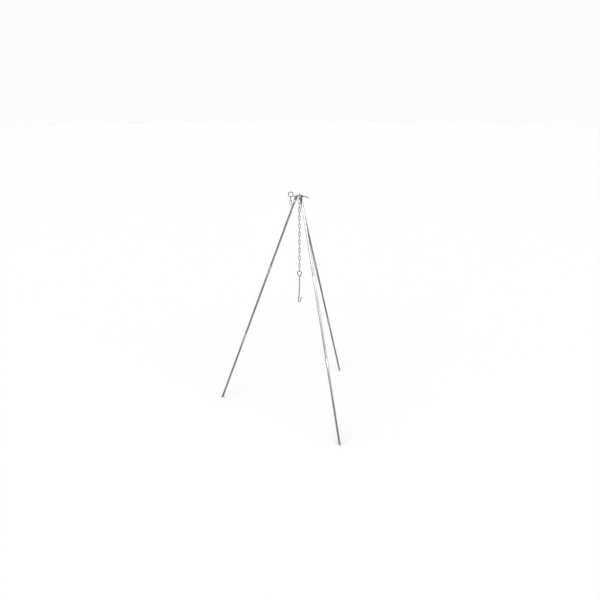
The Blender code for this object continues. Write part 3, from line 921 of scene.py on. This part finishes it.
class Finish(Nodes):
    """One material's nodes."""

    def __init__(self, name, metallic, specular=0.5):
        self.material = bpy.data.materials.new(name)
        self.material.use_nodes = True
        super().__init__(self.material.node_tree)
        self.shader = self.tree.nodes["Principled BSDF"]
        self.shader.inputs["Metallic"].default_value = metallic
        self.shader.inputs["Specular IOR Level"].default_value = specular
        self.grain = self.add("ShaderNodeAttribute", {"attribute_name": GRAIN}).outputs["Vector"]
        self.wear = self.value("ShaderNodeAttribute", {"attribute_name": WEAR_AND_SHADE}, output="Fac")
        self.along = self.value("ShaderNodeSeparateXYZ", None, {0: self.grain}, output="Z")

    def stretched(self, scale):
        """The grain with its three directions scaled, so that a pattern can run along the piece."""
        scaled = self.add("ShaderNodeVectorMath", {"operation": "MULTIPLY"}, {0: self.grain, 1: scale})
        return scaled.outputs[0]

    def noise(self, scale, detail=2.0, roughness=0.5):
        """Noise of about 0 to 1 whose features are as long as one over each scale, in metres."""
        return self.value(
            "ShaderNodeTexNoise", {"noise_dimensions": "3D"},
            {"Vector": self.stretched(scale), "Scale": 1.0, "Detail": detail, "Roughness": roughness},
        )

    def cells(self, scale, output):
        """Cells round scattered points: the distance to the nearest point, or the grey of its colour."""
        inputs = {"Vector": self.stretched(scale), "Scale": 1.0}
        return self.value("ShaderNodeTexVoronoi", {"feature": "F1"}, inputs, output)

    def mix(self, factor, first, second):
        """A colour between two, each of which is a plain colour or another mix."""
        inputs = {MIX_FACTOR: factor}
        for socket, color in ((MIX_FIRST, first), (MIX_SECOND, second)):
            inputs[socket] = color if isinstance(color, bpy.types.NodeSocket) else rgba(color)
        node = self.add("ShaderNodeMix", {"data_type": "RGBA", "clamp_factor": True}, inputs)
        return node.outputs[MIX_RESULT]

    def surface(self, color, roughness, height, depth):
        """Feeds the shader. The height is in shares of the depth, which is in metres."""
        self.feed(self.shader.inputs["Base Color"], color)
        self.feed(self.shader.inputs["Roughness"], roughness)
        bump = self.add("ShaderNodeBump", None, {"Strength": 0.5, "Distance": depth, "Height": height})
        self.tree.links.new(bump.outputs["Normal"], self.shader.inputs["Normal"])
        return self.material


def plated_finish(name, bright, dull, tints, roughness, line_scale):
    """Plated steel: fine draw lines along the piece, handling smudges, small stains and rubbed bands.

    The plate is duller where it is pressed flat at the top, and duller again down the piece.
    """
    if name in bpy.data.materials:
        return bpy.data.materials[name]
    finish = Finish(name, metallic=1.0)
    lines = finish.noise((1500 * line_scale, 1500 * line_scale, 12), detail=3.0)
    hairs = finish.noise((5200 * line_scale, 5200 * line_scale, 40), detail=1.0)
    smudge = finish.ramp(finish.noise((90, 90, 22), detail=4.0, roughness=0.6), 0.42, 0.66)
    broad = finish.noise((9, 9, 3.5), detail=2.0)
    stain = finish.ramp(finish.noise((420, 420, 260), detail=3.0, roughness=0.7), 0.67, 0.76)
    pits = 1 - finish.ramp(finish.cells((900, 900, 620), "Distance"), 0.05, 0.16)
    rings = finish.ramp(finish.noise((60, 60, 5200), detail=1.0), 0.50, 0.68) * finish.wear
    pressed = 1 - finish.ramp(finish.along, 0.02, 0.06)
    age = finish.ramp(finish.along, 0.05, 0.60) + pressed
    tone = finish.mix(0.35 * smudge + 0.25 * broad + 0.45 * age, bright, dull)
    rubbed = finish.mix(finish.wear * 0.75, tone, tints.polished)
    color = finish.mix(stain * 0.45 + pits * 0.35, rubbed, tints.stain)
    rough = roughness + 0.07 * smudge + 0.04 * lines + 0.25 * stain + 0.02 * hairs - 0.03 * finish.wear
    height = 0.6 * lines + 0.25 * hairs + 0.35 * rings - 0.8 * pits
    return finish.surface(color, rough, height, depth=0.000015)


def collar_finish(tints):
    """Bright turned steel: fine rings round the collar, with painted shade in the low places at its two
    ends.
    """
    finish = Finish("turned_collar", metallic=1.0)
    rings = finish.noise((40, 40, 4200), detail=3.0)
    smudge = finish.ramp(finish.noise((150, 150, 120), detail=4.0), 0.45, 0.70)
    stain = finish.ramp(finish.noise((520, 520, 520), detail=3.0, roughness=0.7), 0.66, 0.76)
    tone = finish.mix(0.5 * smudge, tints.polished, tints.bright)
    # Painted shade: the collar's two ends are mixed towards the dark cap steel.
    shaded = finish.mix(finish.wear * 0.65, tone, tints.cap)
    color = finish.mix(stain * 0.4, shaded, tints.stain)
    rough = 0.16 + 0.10 * smudge + 0.08 * rings + 0.25 * stain + 0.12 * finish.wear
    return finish.surface(color, rough, rings, depth=0.00003)


def chain_finish(tints):
    """Galvanised wire: crystal patches, a dull bloom, and bows rubbed bright by their neighbours."""
    finish = Finish("galvanised_chain", metallic=1.0)
    patches = finish.cells((700, 700, 450), "Color")
    bloom = finish.ramp(finish.noise((380, 380, 300), detail=4.0, roughness=0.65), 0.42, 0.68)
    stain = finish.ramp(finish.noise((900, 900, 700), detail=2.0), 0.66, 0.76)
    tone = finish.mix(0.5 * patches, tints.zinc, tints.bright)
    dull = finish.mix(bloom * 0.55, tone, tints.dull)
    rubbed = finish.mix(finish.wear * 0.7, dull, tints.polished)
    color = finish.mix(stain * 0.5, rubbed, tints.stain)
    rough = 0.30 + 0.16 * bloom + 0.05 * patches + 0.2 * stain - 0.12 * finish.wear
    height = 0.5 * bloom + 0.5 * finish.noise((2600, 2600, 2200), detail=2.0)
    return finish.surface(color, rough, height, depth=0.00005)


def cap_finish(tints):
    """Dark steel that the ground has scuffed, with dust caught round it."""
    finish = Finish("scuffed_cap", metallic=1.0)
    grime_and_shade = finish.ramp(finish.noise((500, 500, 500), detail=5.0, roughness=0.65), 0.40, 0.66)
    scrapes = finish.ramp(finish.noise((2200, 300, 900), detail=2.0), 0.58, 0.72)
    base = finish.mix(grime_and_shade * 0.6, tints.cap, tints.stain)
    color = finish.mix(scrapes * (0.25 + 0.6 * finish.wear), base, tints.dull)
    rough = 0.42 + 0.25 * grime_and_shade - 0.12 * scrapes * finish.wear
    height = 0.6 * grime_and_shade - 0.8 * scrapes
    return finish.surface(color, rough, height, depth=0.00008)


def tube_finish(tints):
    """The plated tube of the legs."""
    return plated_finish("drawn_tube", tints.bright, tints.dull, tints, roughness=0.15, line_scale=1.0)


def wire_finish(tints):
    """The plated wire of the ring, the pin and the hook."""
    return plated_finish("drawn_wire", tints.zinc, tints.weathered, tints, roughness=0.18, line_scale=1.6)


# Operators.


class TRIPOD_OT_tubes(bpy.types.Operator):
    """Make the nine tubes of the three legs"""

    bl_idname = "tripod.tubes"
    bl_label = "Leg tubes"

    def execute(self, context):
        sizes = context.scene.tripod_sizes
        material = tube_finish(context.scene.tripod_colors)
        for name in LEGS:
            leg = LegFrame(name)
            upper_tube(leg, sizes, material)
            plain_tube(leg, "middle", sizes, material)
            plain_tube(leg, "lower", sizes, material)
        return DONE


class TRIPOD_OT_collars(bpy.types.Operator):
    """Make the two collars of each leg"""

    bl_idname = "tripod.collars"
    bl_label = "Collars"

    def execute(self, context):
        sizes = context.scene.tripod_sizes
        material = collar_finish(context.scene.tripod_colors)
        for name in LEGS:
            leg = LegFrame(name)
            collar(leg, "upper", f"{name}_leg_upper", sizes, material)
            collar(leg, "lower", f"{name}_leg_middle", sizes, material)
        return DONE


class TRIPOD_OT_feet(bpy.types.Operator):
    """Make the cap at the end of each leg"""

    bl_idname = "tripod.feet"
    bl_label = "Foot caps"

    def execute(self, context):
        material = cap_finish(context.scene.tripod_colors)
        for name in LEGS:
            foot_cap(LegFrame(name), context.scene.tripod_sizes, material)
        return DONE


class TRIPOD_OT_ring(bpy.types.Operator):
    """Make the ring that gathers the three leg tops"""

    bl_idname = "tripod.ring"
    bl_label = "Head ring"

    def execute(self, context):
        scene = context.scene
        head_ring(scene.tripod_sizes, scene.tripod_wires, wire_finish(scene.tripod_colors))
        return DONE


class TRIPOD_OT_pin(bpy.types.Operator):
    """Make the arched pin with its finger loop"""

    bl_idname = "tripod.pin"
    bl_label = "Height pin"

    def execute(self, context):
        height_pin(context.scene.tripod_wires, wire_finish(context.scene.tripod_colors))
        return DONE


class TRIPOD_OT_chain(bpy.types.Operator):
    """Make the hanging chain and the two spare links"""

    bl_idname = "tripod.chain"
    bl_label = "Chain"

    def execute(self, context):
        scene = context.scene
        sizes = scene.tripod_sizes
        wires = scene.tripod_wires
        material = chain_finish(scene.tripod_colors)
        for number in range(1, LINK_COUNT + 1):
            body = f"link_{number:02d}"
            side = -1 if number % 4 < 2 else 1
            link_piece(f"{body}_welded", f"chain_{body}", body, sizes, wires, material, side)
        for number in range(1, SPARE_COUNT + 1):
            node = f"spare_link_{number}"
            link_piece(f"{node}_welded", node, f"spare_{number}", sizes, wires, material, 1)
        return DONE


class TRIPOD_OT_hook(bpy.types.Operator):
    """Make the pot hook"""

    bl_idname = "tripod.hook"
    bl_label = "Pot hook"

    def execute(self, context):
        pot_hook(context.scene.tripod_wires, wire_finish(context.scene.tripod_colors))
        return DONE


class TRIPOD_OT_stage(bpy.types.Operator):
    """Make the floor, the room's light and the camera"""

    bl_idname = "tripod.stage"
    bl_label = "Stage"

    def execute(self, context):
        scene = context.scene
        studio = scene.tripod_studio
        add_floor(studio, scene.tripod_colors)
        add_room(studio)
        side = JOINTS["height_pin_draw"]["pos_m"][0]
        aim = np.array((side, node_points("head_ring")[:, 1].mean(), studio.camera_aim))
        add_light(studio, aim)
        add_camera(studio, aim)
        return DONE


# Stage.


def add_floor(studio, tints):
    """A round, flat floor: rings whose radius grows as the cube of their share of the way out."""
    radius = np.linspace(0.0, 1.0, FLOOR_ROWS)[1:] ** 3 * studio.floor_size / 2
    profile = np.stack((radius, np.zeros(len(radius))), axis=1)
    centre = -FLOOR_DROP * Z_WAY
    rows = turned_rows(profile[::-1], TURNED_SIDES, centre, X_WAY, Z_WAY)
    mesh = grid_mesh("floor_surface", rows, poles=(None, centre))
    finish = Finish("pale_floor", metallic=0.0, specular=0.2)
    finish.shader.inputs["Base Color"].default_value = rgba(tints.floor)
    finish.shader.inputs["Roughness"].default_value = 0.9
    mesh.materials.append(finish.material)
    placed("studio_floor", mesh)


def add_room(studio):
    """A pale room with a long soft screen of light ahead of the tripod, low above the floor.

    The screen is the part of the room whose direction lies between two heights and within a side angle.
    Elsewhere the light grows from the level to straight above. What the camera sees is the plain backdrop.
    """
    scene = bpy.context.scene
    world = bpy.data.worlds.new("studio_room")
    world.use_nodes = True
    scene.world = world
    scene.view_settings.view_transform = "Standard"
    room = Nodes(world.node_tree)
    direction = room.add("ShaderNodeTexCoord").outputs["Generated"]
    parts = room.add("ShaderNodeSeparateXYZ", None, {0: direction})
    height = parts.outputs["Z"]
    ahead = -1 * Value(room.tree, parts.outputs["Y"])
    low = math.sin(studio.screen_low)
    high = math.sin(studio.screen_high)
    side = math.cos(studio.screen_half)
    fade = studio.screen_fade
    above = room.ramp(height, low - fade, low + fade)
    under = 1 - room.ramp(height, high - fade, high + fade)
    screen = above * under * room.ramp(ahead, side - fade, side + fade)
    sky = room.ramp(height, 0.0, studio.sky_height)
    shade = studio.side_light + (studio.room_light - studio.side_light) * sky + studio.screen_light * screen
    seen = room.value("ShaderNodeLightPath", output="Is Camera Ray")
    background = world.node_tree.nodes["Background"]
    background.inputs["Color"].default_value = rgba((1.0, 1.0, 1.0))
    room.feed(background.inputs["Strength"], shade + seen * (studio.backdrop - shade))


def aim_at(thing, place, aim):
    """Puts a lamp or a camera at a place, looking along -Z at a point with +Y up."""
    back = unit(place - aim)
    right = unit(np.cross(Z_WAY, back))
    matrix = np.eye(4)
    matrix[:3, :3] = np.stack((right, np.cross(back, right), back), axis=1)
    matrix[:3, 3] = place
    thing.matrix_world = Matrix(matrix.tolist())


def add_light(studio, aim):
    """A broad soft light from above."""
    light = bpy.data.lights.new("overhead_light", "SUN")
    light.energy = studio.overhead_light
    light.angle = studio.overhead_spread
    aim_at(placed("overhead_light", light), aim + OVERHEAD_PLACE, aim)


def add_camera(studio, aim):
    """The camera at its azimuth, elevation and distance from the point it looks at."""
    around = math.sin(studio.camera_azimuth) * X_WAY - math.cos(studio.camera_azimuth) * Y_WAY
    back = math.cos(studio.camera_elevation) * around + math.sin(studio.camera_elevation) * Z_WAY
    data = bpy.data.cameras.new("studio_camera")
    data.lens = studio.camera_lens
    data.shift_x, data.shift_y = studio.camera_shift
    camera = placed("studio_camera", data)
    aim_at(camera, aim + back * studio.camera_distance, aim)
    bpy.context.scene.camera = camera


# The add-on.


PROPERTIES = {
    "tripod_sizes": TripodSizes,
    "tripod_wires": TripodWires,
    "tripod_colors": TripodColors,
    "tripod_studio": TripodStudio,
}

OPERATORS = (
    TRIPOD_OT_stage,
    TRIPOD_OT_tubes,
    TRIPOD_OT_collars,
    TRIPOD_OT_feet,
    TRIPOD_OT_ring,
    TRIPOD_OT_pin,
    TRIPOD_OT_chain,
    TRIPOD_OT_hook,
)


class TRIPOD_PT_pieces(bpy.types.Panel):
    """Lists the tripod's sizes, colours and pieces"""

    bl_label = "Campfire tripod"
    bl_idname = "TRIPOD_PT_pieces"
    bl_space_type = "VIEW_3D"
    bl_region_type = "UI"
    bl_category = "Tripod"

    def draw(self, context):
        for operator in OPERATORS:
            self.layout.operator(operator.bl_idname)
        for name, group in PROPERTIES.items():
            box = self.layout.box()
            for field in group.__annotations__:
                box.prop(getattr(context.scene, name), field)


CLASSES = (*PROPERTIES.values(), *OPERATORS, TRIPOD_PT_pieces)


def register():
    """Makes the groups, operators and panel known, and gives each scene its groups."""
    for cls in CLASSES:
        bpy.utils.register_class(cls)
    for name, group in PROPERTIES.items():
        setattr(bpy.types.Scene, name, bpy.props.PointerProperty(type=group))


def unregister():
    """Takes back what register did."""
    for name in PROPERTIES:
        delattr(bpy.types.Scene, name)
    for cls in reversed(CLASSES):
        bpy.utils.unregister_class(cls)


def main():
    """Makes the stage and every piece."""
    register()
    bpy.ops.tripod.stage()
    bpy.ops.tripod.tubes()
    bpy.ops.tripod.collars()
    bpy.ops.tripod.feet()
    bpy.ops.tripod.ring()
    bpy.ops.tripod.pin()
    bpy.ops.tripod.chain()
    bpy.ops.tripod.hook()


if __name__ == "__main__":
    main()
